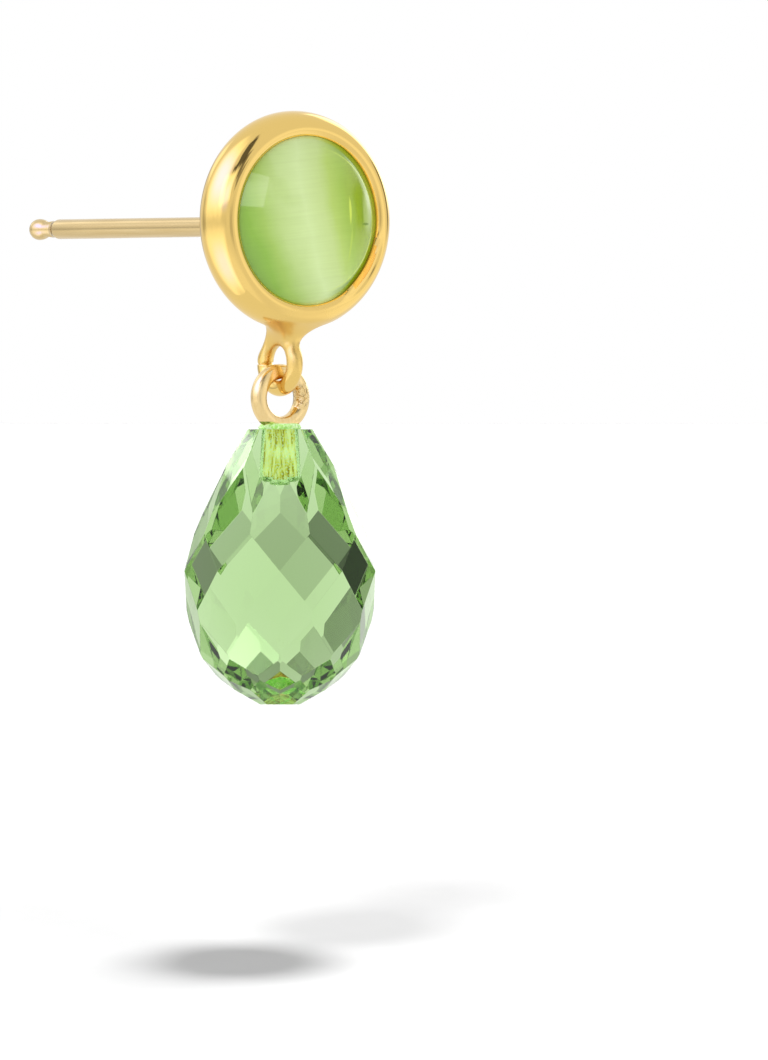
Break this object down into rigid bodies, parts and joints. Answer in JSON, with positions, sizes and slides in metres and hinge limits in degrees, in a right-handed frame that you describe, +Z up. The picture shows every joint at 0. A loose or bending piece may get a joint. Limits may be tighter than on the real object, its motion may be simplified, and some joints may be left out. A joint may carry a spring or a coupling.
{
  "type": "drop earring on a stud post",
  "caption": "Round domed stone in a smooth gilt bezel with a straight ear post, and a faceted pear-shaped glass drop swinging from a small soldered loop.",
  "frame": {"origin": "on the ear post's axis at the flat back of the bezel, where the ear lobe sits", "axes": "+Y along the post, out of the back; -Y the way the domed stone faces; +Z up, against the way the drop hangs; X across"},
  "size_m": [0.008, 0.0191, 0.0217],
  "materials": {
    "gilt_metal": "polished gold plating",
    "cats_eye_glass": "polished, silky fibres inside",
    "gilt_wire": "satin gold plating",
    "green_glass": "clear, faceted and polished"
  },
  "bodies": {
    "setting": {"setting": "gilt_metal", "cabochon": "cats_eye_glass"},
    "drop": {"eye_pin": "gilt_wire", "briolette": "green_glass"}
  },
  "joints": [
    {"name": "drop_swing", "type": "hinge", "parent": "setting", "child": "drop", "pos_m": [0, -0.00011, -0.00593], "axis": [0, 1, 0], "range_deg": [-104, 104]}
  ]
}
